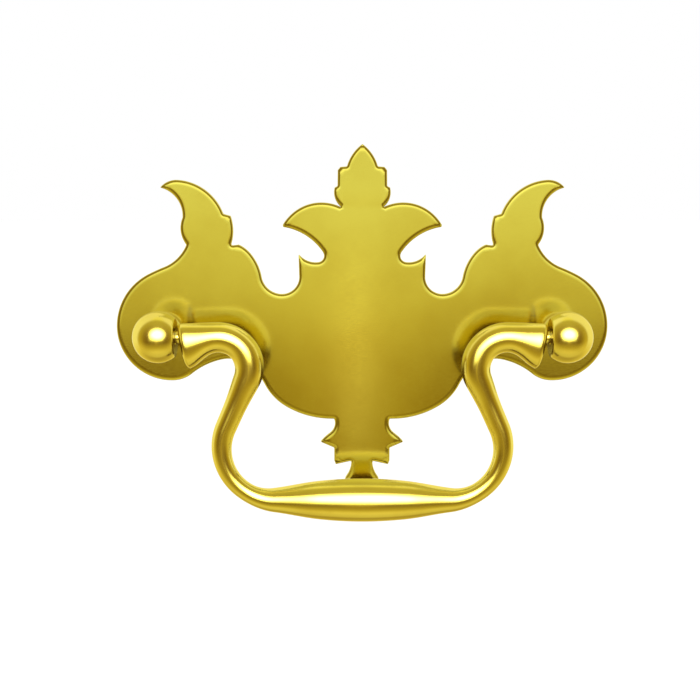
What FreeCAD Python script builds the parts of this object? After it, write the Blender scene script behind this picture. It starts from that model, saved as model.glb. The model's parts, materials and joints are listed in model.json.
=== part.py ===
import FreeCAD, Part
import math
import os

from FreeCAD import Matrix, Vector

# A drawer pull: a scalloped brass backplate, two ball-headed posts and a swan-neck bail that swings between them.
# Millimetres. +X runs to the right along the line of the posts, +Z is up and the front faces -Y.
# The origin lies midway between the posts, on the back face of the plate.

# Posts
POST_SPACING = 76.2          # centre to centre, the standard 3 inch pattern
BALL_DIAMETER = 9.66
BALL_FLAT = 3.2              # from the ball's centre to the flat that faces the bail
PIN_STANDOFF = 9.8           # from the plate's front to the hinge axis
NECK_DIAMETER = 5.2          # slimmest part of the turned neck behind the ball
FOOT_DIAMETER = 6.6          # foot of the neck, seated on the plate
FOOT_HEIGHT = 0.7
COVE_LENGTH = 1.4            # hollow between the neck and its foot
SPIGOT_DIAMETER = 4.9        # passes through the plate
SPIGOT_RECESS = 0.05         # the spigot stops this short of the plate's back
STUD_DIAMETER = 4.5          # plain shank in the drawer front
THREAD_DIAMETER = 4.16       # a size 8 machine thread
THREAD_LEAD = 5.0            # thread inside the drawer front, before the nut
THREAD_SPARE = 1.8           # thread that stands out of the nut
THREAD_CHAMFER = 0.5

# Nuts
DRAWER_FRONT = 19.0          # wood between the plate and the nut
NUT_ACROSS_FLATS = 8.73
NUT_HEIGHT = 3.2
NUT_CHAMFER = 0.45
THREAD_CLEARANCE = 0.05

# Plate
PLATE_THICKNESS = 1.2
EDGE_BEVEL = 0.25            # softened front edge
NOTCH_RADIUS = 0.3           # left by the saw in the sharp notches of the outline
HOLE_CLEARANCE = 0.1         # plate hole round the spigot

# Plate outline: heights are over the line of the posts, reaches are from the middle of the plate
FINIAL_TIP = 35.5
BUD_FOOT = 31.3
LEAF_REACH = 15.3
LEAF_TIP = 20.0
SPUR_REACH = 12.3
SPUR_TIP = 14.6
VALLEY_REACH = 15.8
VALLEY_BOTTOM = 6.8
WING_TIP_OUT = 0.55          # beyond the post's axis
WING_TIP = 27.3
LOBE_RADIUS = 10.8
LOBE_INSET = 1.05            # lobe's centre, inside the post's axis
LOBE_RISE = 0.55             # lobe's centre, over the post's axis
ARCH_INSET = 10.5            # top of the arch under the shoulder, inside the post's axis
ARCH_TOP = -6.1
BOWL_REACH = 19.1
BOWL_BOTTOM = -18.0
TAIL_LEAF_REACH = 8.2
TAIL_TIP = -35.8

# Bail
PIN_DIAMETER = 2.2
PIN_REACH = 2.4              # how far the pin enters the ball, from its flat
PIN_CLEARANCE = 0.08
PIN_END_CLEARANCE = 0.3
SHOULDER_GAP = 0.85          # from the ball's flat to the shoulder's end, on the hinge axis
SHOULDER_TILT = 11.0         # degrees, lean of the shoulder's end
SHOULDER_RISE = 2.6
HEEL_DROP = 5.9              # how far the heel of the shoulder hangs below the hinge axis
SHOULDER_DEPTH = 5.6
SHOULDER_ROUNDING = 0.7
DISH_DIAMETER = 3.4          # hollow round the foot of the pin
DISH_DEPTH = 0.7
FLARE_STEPS = 5              # spans between the sections of the shoulder
ROD_LENGTH = 11.2            # from the post's axis to the start of the bend
BAIL_DROP = 31.5             # from the hinge axis to the middle of the grip bar
BEND_RADIUS = 5.7
ARM_LEAN = 24.0              # degrees, outward slope of the arm
CORNER_RADIUS = 10.1
GRIP_DIAMETER = 8.2
GRIP_END_DIAMETER = 4.7
CORNER_DIAMETER = 3.5        # slimmest section
CORNER_SHARE = 0.3           # of the corner's turn, where the slimmest section lies
HIP_DIAMETER = 4.05
ARM_DIAMETER = 4.3
ARM_TOP_DIAMETER = 5.2
BEND_DIAMETER = 5.5
ROD_DIAMETER = 5.6
BEND_SECTIONS = (            # share of the bend's turn that is left, and the diameter there
    (0.7, BEND_DIAMETER),
    (0.4, BEND_DIAMETER),
    (0.15, ROD_DIAMETER),
)

POST_X = POST_SPACING / 2
PIN_Y = -PLATE_THICKNESS - PIN_STANDOFF
STUD_END = DRAWER_FRONT - THREAD_LEAD
THREAD_END = DRAWER_FRONT + NUT_HEIGHT + THREAD_SPARE


class Outline:
    """A chain of edges drawn point by point in the plane of the plate's back face."""

    def __init__(self, start):
        self.here = start
        self.edges = []
        self.notches = []

    def line(self, end):
        self.edges.append(Part.LineSegment(flat(self.here), flat(end)).toShape())
        self.here = end

    def arc(self, middle, end):
        self.edges.append(Part.Arc(flat(self.here), flat(middle), flat(end)).toShape())
        self.here = end

    def flow(self, *points):
        """Arcs from point to point, each leaving in the direction in which the edge before it arrived."""
        for end in points:
            heading = self.edges[-1].tangentAt(self.edges[-1].LastParameter)
            chord = flat(end) - flat(self.here)
            along = Vector(chord).normalize()
            aside = (heading - along * heading.dot(along)).normalize()
            bulge = chord.Length / 2 * math.tan(heading.getAngle(chord) / 2)
            middle = flat(self.here) + chord / 2 + aside * bulge
            self.arc((middle.x, middle.z), end)

    def notch(self):
        """Marks the corner reached here as one that the saw leaves rounded."""
        self.notches.append(self.here)


def flat(point):
    return Vector(point[0], 0, point[1])


def by_post(inset, height):
    """A point of the outline given by its distance inside the post's axis."""
    return POST_X - inset, height


def draw_finial(outline):
    """The pointed bud and the two steps under it."""
    outline.arc((1.8, FINIAL_TIP - 1.8), (2.95, BUD_FOOT))
    outline.notch()
    outline.line((4.2, BUD_FOOT - 0.1))
    outline.line((4.7, BUD_FOOT - 0.7))
    outline.line((4.75, BUD_FOOT - 3.7))
    outline.notch()
    outline.line((5.3, BUD_FOOT - 4.0))
    outline.arc((5.35, BUD_FOOT - 5.6), (3.9, BUD_FOOT - 7.8))
    outline.notch()


def draw_leaf(outline):
    """The side leaf of the crest, the deep notch under it and the spur."""
    outline.arc((9.3, LEAF_TIP + 4.35), (12.8, LEAF_TIP + 2.9))
    outline.flow((LEAF_REACH, LEAF_TIP + 0.2))
    outline.line((LEAF_REACH - 0.1, LEAF_TIP - 0.2))
    outline.arc((9.8, LEAF_TIP - 2.6), (7.6, LEAF_TIP - 5.0))
    outline.flow((8.5, SPUR_TIP - 1.6), (SPUR_REACH, SPUR_TIP))


def draw_wing(outline):
    """The valley beside the spur and the wing that rises from it to a swept point."""
    outline.line((SPUR_REACH - 0.1, SPUR_TIP - 4.3))
    outline.flow(
        (VALLEY_REACH, VALLEY_BOTTOM),
        by_post(18.6, 10.1),
        by_post(16.4, 14.8),
        by_post(14.25, 16.4),
    )
    outline.line(by_post(12.75, 16.2))
    outline.notch()
    outline.arc(by_post(13.25, 19.4), by_post(12.8, 21.9))
    outline.line(by_post(11.4, 22.3))
    outline.notch()
    outline.arc(by_post(7.8, WING_TIP - 0.3), by_post(2.8, WING_TIP + 1.45))
    outline.flow(by_post(-WING_TIP_OUT, WING_TIP))
    outline.arc(by_post(2.2, WING_TIP - 1.6), by_post(3.6, WING_TIP - 5.7))
    outline.notch()
    outline.arc(by_post(3.15, 19.4), by_post(4.2, 16.4))
    outline.notch()


def draw_lobe(outline):
    """The S-shaped shoulder and the round ear behind the post."""
    centre = by_post(LOBE_INSET, LOBE_RISE)
    outline.arc(by_post(2.3, 13.7), by_post(-0.3, 12.05))
    outline.flow(by_post(-3.3, 10.7), (centre[0] + LOBE_RADIUS, centre[1]), (centre[0], centre[1] - LOBE_RADIUS))


def draw_bowl(outline):
    """The arch under the bail's bend and the rounded bowl of the plate."""
    outline.flow(
        by_post(4.7, -8.9),
        by_post(ARCH_INSET, ARCH_TOP),
        by_post(16.8, ARCH_TOP - 1.9),
        (BOWL_REACH, ARCH_TOP - 5.0),
        (BOWL_REACH - 4.1, BOWL_BOTTOM + 2.5),
        (5.5, BOWL_BOTTOM),
    )
    outline.notch()


def draw_tail(outline):
    """The drop below the bowl: a flared leaf, a step and a pointed stem."""
    outline.arc((5.35, BOWL_BOTTOM - 1.0), (6.4, BOWL_BOTTOM - 3.0))
    outline.flow((TAIL_LEAF_REACH, BOWL_BOTTOM - 4.7))
    outline.line((5.5, BOWL_BOTTOM - 5.9))
    outline.notch()
    outline.line((5.5, BOWL_BOTTOM - 8.5))
    outline.line((5.2, BOWL_BOTTOM - 9.3))
    outline.line((2.1, BOWL_BOTTOM - 8.6))
    outline.notch()
    outline.arc((2.35, BOWL_BOTTOM - 10.3), (3.05, BOWL_BOTTOM - 11.7))
    outline.flow((3.3, TAIL_TIP + 4.2), (2.4, TAIL_TIP + 2.5), (0, TAIL_TIP))


def make_backplate():
    """The flat plate: its outline is symmetrical about the middle."""
    outline = Outline((0, FINIAL_TIP))
    draw_finial(outline)
    draw_leaf(outline)
    draw_wing(outline)
    draw_lobe(outline)
    draw_bowl(outline)
    draw_tail(outline)
    right_half = Part.Wire(outline.edges)
    left_half = right_half.mirror(Vector(0, 0, 0), Vector(1, 0, 0))
    border = Part.Wire(Part.__sortEdges__(right_half.Edges + left_half.Edges))
    plate = Part.Face(border).extrude(Vector(0, -PLATE_THICKNESS, 0))

    notch_edges = [edge for edge in plate.Edges if rises_from(edge, outline.notches)]
    plate = plate.makeFillet(NOTCH_RADIUS, notch_edges)
    front_edges = [edge for edge in plate.Edges if lies_at(edge, -PLATE_THICKNESS)]
    plate = plate.makeChamfer(EDGE_BEVEL, front_edges)
    for side in (-1, 1):
        hole = Part.makeCylinder(
            SPIGOT_DIAMETER / 2 + HOLE_CLEARANCE,
            PLATE_THICKNESS,
            Vector(side * POST_X, -PLATE_THICKNESS, 0),
            Vector(0, 1, 0),
        )
        plate = plate.cut(hole)
    return plate


def rises_from(edge, points):
    """Whether an edge crosses the plate's thickness at one of the points or at its mirror image."""
    box = edge.BoundBox
    if abs(box.YLength - PLATE_THICKNESS) > 1e-6:
        return False
    place = edge.Vertexes[0].Point
    return any(math.hypot(abs(place.x) - x, place.z - z) < 1e-6 for x, z in points)


def lies_at(edge, y):
    """Whether an edge runs in the plane at this depth."""
    box = edge.BoundBox
    return abs(box.YMin - y) < 1e-6 and abs(box.YMax - y) < 1e-6


def make_post(side):
    """One turned post: ball, coved neck, foot, spigot, stud and threaded end, with a cross hole for the pin."""
    ball_radius = BALL_DIAMETER / 2
    neck_radius = NECK_DIAMETER / 2
    foot_radius = FOOT_DIAMETER / 2
    neck_start = PIN_Y + math.sqrt(ball_radius ** 2 - neck_radius ** 2)
    foot_front = -PLATE_THICKNESS - FOOT_HEIGHT
    cove_start = foot_front - COVE_LENGTH
    cove_width = foot_radius - neck_radius
    cove_radius = (cove_width ** 2 + COVE_LENGTH ** 2) / (2 * cove_width)
    cove_half_turn = math.asin(COVE_LENGTH / cove_radius) / 2
    spigot_end = -SPIGOT_RECESS
    thread_tip = THREAD_DIAMETER / 2 - THREAD_CHAMFER

    def rim(radius, y):
        return Vector(radius, y, 0)

    ball_front = rim(0, PIN_Y - ball_radius)
    ball_side = rim(ball_radius, PIN_Y)
    cove_middle = rim(
        neck_radius + cove_radius * (1 - math.cos(cove_half_turn)),
        cove_start + cove_radius * math.sin(cove_half_turn),
    )
    steps = [
        rim(foot_radius, foot_front),
        rim(foot_radius, -PLATE_THICKNESS),
        rim(SPIGOT_DIAMETER / 2, -PLATE_THICKNESS),
        rim(SPIGOT_DIAMETER / 2, spigot_end),
        rim(STUD_DIAMETER / 2, spigot_end),
        rim(STUD_DIAMETER / 2, STUD_END),
        rim(THREAD_DIAMETER / 2, STUD_END),
        rim(THREAD_DIAMETER / 2, THREAD_END - THREAD_CHAMFER),
        rim(thread_tip, THREAD_END),
        rim(0, THREAD_END),
        ball_front,
    ]
    edges = [
        Part.Arc(ball_front, ball_side, rim(neck_radius, neck_start)).toShape(),
        Part.makeLine(rim(neck_radius, neck_start), rim(neck_radius, cove_start)),
        Part.Arc(rim(neck_radius, cove_start), cove_middle, steps[0]).toShape(),
    ]
    edges += [Part.makeLine(start, end) for start, end in zip(steps, steps[1:])]
    turned = Part.Face(Part.Wire(edges)).revolve(Vector(0, 0, 0), Vector(0, 1, 0), 360)

    beyond_flat = Part.makeBox(
        BALL_DIAMETER, BALL_DIAMETER, BALL_DIAMETER,
        Vector(-BALL_FLAT - BALL_DIAMETER, PIN_Y - ball_radius, -ball_radius),
    )
    pin_hole = Part.makeCylinder(
        PIN_DIAMETER / 2 + PIN_CLEARANCE,
        PIN_REACH + PIN_END_CLEARANCE,
        Vector(-BALL_FLAT, PIN_Y, 0),
        Vector(1, 0, 0),
    )
    post = turned.cut(beyond_flat).cut(pin_hole)
    if side < 0:
        post = post.mirror(Vector(0, 0, 0), Vector(1, 0, 0))
    post.translate(Vector(side * POST_X, 0, 0))
    return post


def make_nut(side):
    """A plain hexagon nut, drawn up against the back of the drawer front."""
    corner_radius = NUT_ACROSS_FLATS / 2 / math.cos(math.radians(30))
    corners = []
    for index in range(7):
        angle = math.radians(60 * index)
        corners.append(Vector(corner_radius * math.cos(angle), 0, corner_radius * math.sin(angle)))
    prism = Part.Face(Part.makePolygon(corners)).extrude(Vector(0, NUT_HEIGHT, 0))
    face_radius = NUT_ACROSS_FLATS / 2
    profile = Part.makePolygon([
        Vector(0, 0, 0),
        Vector(face_radius, 0, 0),
        Vector(corner_radius, NUT_CHAMFER, 0),
        Vector(corner_radius, NUT_HEIGHT - NUT_CHAMFER, 0),
        Vector(face_radius, NUT_HEIGHT, 0),
        Vector(0, NUT_HEIGHT, 0),
        Vector(0, 0, 0),
    ])
    rounded = Part.Face(profile).revolve(Vector(0, 0, 0), Vector(0, 1, 0), 360)
    bore = Part.makeCylinder(
        THREAD_DIAMETER / 2 + THREAD_CLEARANCE, NUT_HEIGHT, Vector(0, 0, 0), Vector(0, 1, 0)
    )
    nut = prism.common(rounded).cut(bore)
    nut.translate(Vector(side * POST_X, DRAWER_FRONT, 0))
    return nut


class BailLine:
    """The centre line of the bail's right half: bar, corner, leaning arm and bend, all tangent to each other."""

    def __init__(self):
        lean = math.radians(ARM_LEAN)
        self.bend_centre = (POST_X - ROD_LENGTH, -BEND_RADIUS)
        self.arm_top = around(self.bend_centre, BEND_RADIUS, 180 + ARM_LEAN)
        corner_height = -BAIL_DROP + CORNER_RADIUS
        arm_bottom_height = corner_height + CORNER_RADIUS * math.sin(lean)
        arm_run = (self.arm_top[1] - arm_bottom_height) * math.tan(lean)
        self.arm_bottom = (self.arm_top[0] + arm_run, arm_bottom_height)
        self.corner_centre = (self.arm_bottom[0] - CORNER_RADIUS * math.cos(lean), corner_height)
        self.bar_end = (self.corner_centre[0], -BAIL_DROP)
        self.rod_start = (self.bend_centre[0], 0)

    def edges(self):
        """The corner, the arm and the bend."""
        corner_middle = around(self.corner_centre, CORNER_RADIUS, (ARM_LEAN - 90) / 2)
        bend_middle = around(self.bend_centre, BEND_RADIUS, (90 + 180 + ARM_LEAN) / 2)
        return [
            Part.Arc(hung(self.bar_end), hung(corner_middle), hung(self.arm_bottom)).toShape(),
            Part.makeLine(hung(self.arm_bottom), hung(self.arm_top)),
            Part.Arc(hung(self.arm_top), hung(bend_middle), hung(self.rod_start)).toShape(),
        ]

    def sections(self):
        """Place, heading in degrees and diameter of the round sections, from the bar's end to the rod."""
        turn = 90 + ARM_LEAN
        slim = CORNER_SHARE * turn
        arm_middle = [(low + high) / 2 for low, high in zip(self.arm_bottom, self.arm_top)]
        sections = [
            (self.bar_end, 0, GRIP_END_DIAMETER),
            (around(self.corner_centre, CORNER_RADIUS, slim - 90), slim, CORNER_DIAMETER),
            (self.arm_bottom, turn, HIP_DIAMETER),
            (arm_middle, turn, ARM_DIAMETER),
            (self.arm_top, turn, ARM_TOP_DIAMETER),
        ]
        for share, diameter in BEND_SECTIONS:
            left = share * turn
            sections.append((around(self.bend_centre, BEND_RADIUS, 90 + left), left, diameter))
        sections.append((self.rod_start, 0, ROD_DIAMETER))
        return sections


def around(centre, radius, angle):
    """The point of a circle at an angle in degrees, counted from +X towards +Z."""
    turned = math.radians(angle)
    return centre[0] + radius * math.cos(turned), centre[1] + radius * math.sin(turned)


def hung(point):
    """A point in the upright plane in which the bail hangs."""
    return Vector(point[0], PIN_Y, point[1])


def oval(place, heading, half_depth, half_height):
    """An oval section of the bail, square to the direction that it heads in."""
    circle = Part.Circle(Vector(0, 0, 0), Vector(1, 0, 0), 1).toShape()
    fit = Matrix()
    fit.scale(1, half_depth, half_height)
    fit.rotateY(math.radians(-heading))
    fit.move(hung(place))
    return Part.Wire(circle.transformGeometry(fit).Edges)


def make_swan_neck(line):
    """The swelling grip bar with both arms and bends, swept through its sections from left to right."""
    right_edges = line.edges()
    left_edges = [edge.mirror(Vector(0, 0, 0), Vector(1, 0, 0)) for edge in right_edges]
    bar_left = Part.makeLine(hung((-line.bar_end[0], -BAIL_DROP)), hung((0, -BAIL_DROP)))
    bar_right = Part.makeLine(hung((0, -BAIL_DROP)), hung(line.bar_end))
    path = Part.Wire(Part.__sortEdges__(left_edges + [bar_left, bar_right] + right_edges))

    swell = GRIP_DIAMETER - GRIP_END_DIAMETER
    half_way = ((line.bar_end[0] / 2, -BAIL_DROP), 0, GRIP_DIAMETER - swell / 4)
    right = [half_way] + line.sections()
    left = [((-place[0], place[1]), -heading, diameter) for place, heading, diameter in reversed(right)]
    middle = ((0, -BAIL_DROP), 0, GRIP_DIAMETER)
    rounds = [
        oval(place, heading, diameter / 2, diameter / 2)
        for place, heading, diameter in left + [middle] + right
    ]
    return path.makePipeShell(rounds, True, False)


def make_shoulder(line):
    """The flared end of the rod, its leaning end face rounded and dished round the pin."""
    end_x = POST_X - BALL_FLAT - SHOULDER_GAP
    start_x = line.rod_start[0]
    rod_radius = ROD_DIAMETER / 2
    ovals = []
    for step in range(FLARE_STEPS + 1):
        share = step / FLARE_STEPS
        flare = share * share * (3 - 2 * share)
        rise = rod_radius + flare * (SHOULDER_RISE - rod_radius)
        drop = rod_radius + flare * (HEEL_DROP - rod_radius)
        half_depth = rod_radius + flare * (SHOULDER_DEPTH / 2 - rod_radius)
        tilt = flare * SHOULDER_TILT
        middle = (rise - drop) / 2
        x = start_x + share * (end_x - start_x) + middle * math.tan(math.radians(tilt))
        half_height = (rise + drop) / 2 / math.cos(math.radians(tilt))
        ovals.append(oval((x, middle), -tilt, half_depth, half_height))
    shoulder = Part.makeLoft(ovals, True, False)
    end_edge = max(shoulder.Edges, key=lambda edge: edge.CenterOfMass.x)
    shoulder = shoulder.makeFillet(SHOULDER_ROUNDING, [end_edge])

    dish_radius = DISH_DIAMETER / 2
    ball_radius = (dish_radius ** 2 + DISH_DEPTH ** 2) / (2 * DISH_DEPTH)
    dish = Part.makeSphere(ball_radius, hung((end_x + ball_radius - DISH_DEPTH, 0)))
    return shoulder.cut(dish)


def make_bail():
    """The whole handle, cast in one piece with its hinge pins."""
    line = BailLine()
    shoulder = make_shoulder(line)
    pin_start = line.rod_start[0]
    pin_end = POST_X - BALL_FLAT + PIN_REACH
    pin = Part.makeCylinder(PIN_DIAMETER / 2, pin_end - pin_start, hung((pin_start, 0)), Vector(1, 0, 0))
    right_end = shoulder.fuse(pin)
    left_end = right_end.mirror(Vector(0, 0, 0), Vector(1, 0, 0))
    return make_swan_neck(line).fuse([left_end, right_end]).removeSplitter().Solids[0]


def main():
    os.makedirs("parts", exist_ok=True)
    make_backplate().exportStep("parts/backplate.step")
    make_bail().exportStep("parts/bail.step")
    for side, name in ((-1, "left"), (1, "right")):
        make_post(side).exportStep(f"parts/{name}_post.step")
        make_nut(side).exportStep(f"parts/{name}_nut.step")


if __name__ == "__main__":
    main()
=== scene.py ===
import json
import math
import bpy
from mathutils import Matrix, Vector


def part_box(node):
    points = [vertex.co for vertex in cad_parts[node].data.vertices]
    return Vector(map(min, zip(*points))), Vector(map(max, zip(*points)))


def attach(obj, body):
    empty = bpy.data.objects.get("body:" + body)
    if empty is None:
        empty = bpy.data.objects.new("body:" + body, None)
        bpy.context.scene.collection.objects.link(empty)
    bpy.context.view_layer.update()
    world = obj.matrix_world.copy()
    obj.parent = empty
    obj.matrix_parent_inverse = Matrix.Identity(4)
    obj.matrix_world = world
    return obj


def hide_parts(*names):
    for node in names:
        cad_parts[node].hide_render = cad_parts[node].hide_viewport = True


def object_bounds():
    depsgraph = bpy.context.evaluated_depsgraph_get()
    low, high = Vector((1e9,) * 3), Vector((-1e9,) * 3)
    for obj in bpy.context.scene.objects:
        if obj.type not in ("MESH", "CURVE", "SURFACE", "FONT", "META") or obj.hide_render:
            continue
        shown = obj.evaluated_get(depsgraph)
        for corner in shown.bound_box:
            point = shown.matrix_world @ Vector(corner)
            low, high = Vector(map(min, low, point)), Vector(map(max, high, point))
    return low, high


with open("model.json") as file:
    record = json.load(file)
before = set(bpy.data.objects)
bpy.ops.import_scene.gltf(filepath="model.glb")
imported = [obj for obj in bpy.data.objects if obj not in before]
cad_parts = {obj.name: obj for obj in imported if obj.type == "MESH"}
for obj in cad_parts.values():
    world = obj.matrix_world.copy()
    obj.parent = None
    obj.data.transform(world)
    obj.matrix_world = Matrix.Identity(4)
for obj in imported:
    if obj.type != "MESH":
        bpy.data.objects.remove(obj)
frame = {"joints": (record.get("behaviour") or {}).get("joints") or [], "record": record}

from types import SimpleNamespace

import bmesh
import bpy
import numpy as np
from bpy.props import FloatProperty, FloatVectorProperty, PointerProperty
from mathutils import Matrix, Vector
from mathutils.geometry import delaunay_2d_cdt

bl_info = {
    "name": "Bail Pull",
    "version": (1, 0, 0),
    "blender": (4, 5, 0),
    "location": "View3D > Sidebar > Bail Pull",
    "description": "Builds a brass drawer pull with a scalloped backplate and a swan-neck bail",
    "category": "Object",
}

MM = 0.001
Y, Z = 1, 2                      # places of depth and height in a corner of a box
CAD_BOX = [list(corner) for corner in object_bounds()]

FINE_TURN = math.radians(3)      # widest step along an arc of the plate's border
FINE_STEP = 0.25                 # longest step along the border, in millimetres
SHARP_TURN = math.radians(20)    # border points that turn more than this are corners
CREASE = math.radians(32)        # edges that fold more than this stay crisp
WELD = 0.002                     # points closer than this, in millimetres, are one
HOLE_SIDES = 48
BALL_SIDES = 96
SHANK_SIDES = 64
BAIL_SIDES = 72
BAIL_STEPS = 190                 # steps along each half of the bail
FIRST_MIRRORING = 2.5            # ray depths below this have met one polished surface, others more


# Sizes taken from the solids, in millimetres

def cad_box(node):
    """Lowest and highest corner of one of the solids."""
    return [[round(value / MM, 3) for value in corner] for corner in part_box(node)]


PLATE_LOW, PLATE_HIGH = cad_box("backplate")
POST_LOW, POST_HIGH = cad_box("right_post")
NUT_LOW, NUT_HIGH = cad_box("right_nut")
BAIL_LOW = cad_box("bail")[0]
HINGE_DEPTH = frame["joints"][0]["pos_m"][Y] / MM
GRIP = 2 * (HINGE_DEPTH - BAIL_LOW[Y])
STUDS = next(mount["dims"] for mount in frame["record"]["mounts"] if mount["name"] == "post_studs")


# Settings

def length(name, description, millimetres):
    """A size of the pull, shown in the user's own units."""
    return FloatProperty(
        name=name, description=description, default=millimetres * MM, unit="LENGTH", precision=5,
    )


def colour(name, description, value):
    """A linear colour."""
    return FloatVectorProperty(
        name=name, description=description, default=value, subtype="COLOR", min=0, max=1,
    )


def share(name, description, value):
    """A share from 0 to 1."""
    return FloatProperty(name=name, description=description, default=value, subtype="FACTOR", min=0, max=1)


def angle(name, description, degrees):
    """An angle, shown in degrees."""
    return FloatProperty(name=name, description=description, default=math.radians(degrees), subtype="ANGLE")


def power(name, description, watts):
    """The power of a lamp."""
    return FloatProperty(name=name, description=description, default=watts, unit="POWER", precision=3)


class PlateSizes(bpy.types.PropertyGroup):
    """The flat backplate and the points that its border passes."""
    thickness: length("Thickness", "Thickness of the plate", -PLATE_LOW[Y])
    edge_width: length("Edge width", "Width of the rounded edge, seen from the front", 0.9)
    edge_depth: length("Edge depth", "Depth of the rounded edge", 0.4)
    back_edge: length("Back edge", "Bevel that takes the burr off the back edge", 0.1)
    notch_radius: length("Notch radius", "Rounding left by the saw in the notches", 0.3)
    point_radius: length("Point radius", "Rounding worn onto the points", 0.16)
    hole_radius: length("Hole radius", "Radius of the holes for the posts", 2.55)
    finial_tip: length("Finial tip", "Height of the finial's tip", PLATE_HIGH[Z])
    bud_foot: length("Bud foot", "Height of the foot of the finial's bud", 31.3)
    leaf_reach: length("Leaf reach", "Reach of the crest's side leaf", 15.3)
    leaf_tip: length("Leaf tip", "Height of the side leaf's tip", 20.0)
    spur_reach: length("Spur reach", "Reach of the spur under the leaf", 12.3)
    spur_tip: length("Spur tip", "Height of the spur's tip", 14.6)
    valley_reach: length("Valley reach", "Reach of the valley's lowest point", 15.8)
    valley_bottom: length("Valley bottom", "Height of the valley's lowest point", 6.8)
    wing_tip_out: length("Wing tip reach", "Reach of the wing's tip beyond the post's axis", 0.55)
    wing_tip: length("Wing tip", "Height of the wing's tip", 27.3)
    lobe_radius: length("Lobe radius", "Radius of the round ear behind the post", 10.8)
    lobe_inset: length("Lobe inset", "Lobe's centre, inside the post's axis", 1.05)
    lobe_rise: length("Lobe rise", "Lobe's centre, over the post's axis", 0.55)
    arch_inset: length("Arch inset", "Top of the arch, inside the post's axis", 10.5)
    arch_top: length("Arch top", "Height of the arch under the bail's bend", -6.1)
    bowl_reach: length("Bowl reach", "Reach of the bowl's widest point", 19.1)
    bowl_bottom: length("Bowl bottom", "Height of the bowl's lower edge", -18.0)
    tail_leaf_reach: length("Tail leaf reach", "Reach of the tail's leaf", 8.2)
    tail_tip: length("Tail tip", "Height of the tail's tip", PLATE_LOW[Z])


class PostSizes(bpy.types.PropertyGroup):
    """The turned posts with their ball heads and threaded studs."""
    spacing: length("Spacing", "Distance between the posts' axes", STUDS["spacing_x_mm"])
    hinge_depth: length("Hinge depth", "Place of the hinge axis, from the plate's back", HINGE_DEPTH)
    ball_radius: length("Ball radius", "Radius of the ball", HINGE_DEPTH - POST_LOW[Y])
    ball_flat: length("Ball flat", "From the ball's centre to its flat", 3.2)
    rim_rounding: length("Rim rounding", "Rounding of the flat's rim", 0.28)
    pin_hole_radius: length("Pin hole radius", "Radius of the hole for the bail's pin", 1.18)
    pin_hole_depth: length("Pin hole depth", "Depth of the hole for the bail's pin", 2.7)
    neck_radius: length("Neck radius", "Radius of the neck behind the ball", 2.6)
    cove_length: length("Cove length", "Length of the hollow before the foot", 1.4)
    foot_radius: length("Foot radius", "Radius of the foot on the plate", 3.3)
    foot_height: length("Foot height", "Height of the foot on the plate", 0.7)
    spigot_radius: length("Spigot radius", "Radius of the spigot in the plate", 2.45)
    spigot_recess: length("Spigot recess", "How far the spigot stops short of the plate's back", 0.05)
    stud_radius: length("Stud radius", "Radius of the plain stud", STUDS["stud_r_mm"])
    stud_end: length("Stud end", "Where the thread starts, behind the plate's back", 14.0)
    thread_radius: length("Thread radius", "Outer radius of the thread", 2.08)
    thread_pitch: length("Thread pitch", "Pitch of the thread", 0.794)
    thread_depth: length("Thread depth", "Depth of the thread", 0.4)
    thread_end: length("Thread end", "Where the thread ends, behind the plate's back", POST_HIGH[Y])
    thread_chamfer: length("Thread chamfer", "Chamfer on the thread's tip", 0.5)


class NutSizes(bpy.types.PropertyGroup):
    """The hexagon nuts behind the drawer front."""
    seat: length("Seat", "Where the nut's face lies, behind the plate's back", NUT_LOW[Y])
    across_flats: length("Across flats", "Width across the flats", NUT_HIGH[Z] - NUT_LOW[Z])
    height: length("Height", "Height of the nut", NUT_HIGH[Y] - NUT_LOW[Y])
    chamfer: length("Chamfer", "Chamfer at the corners", 0.45)
    bore_radius: length("Bore radius", "Radius of the bore", 2.13)
    countersink: length("Countersink", "Chamfer of the bore's mouth", 0.3)


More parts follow.
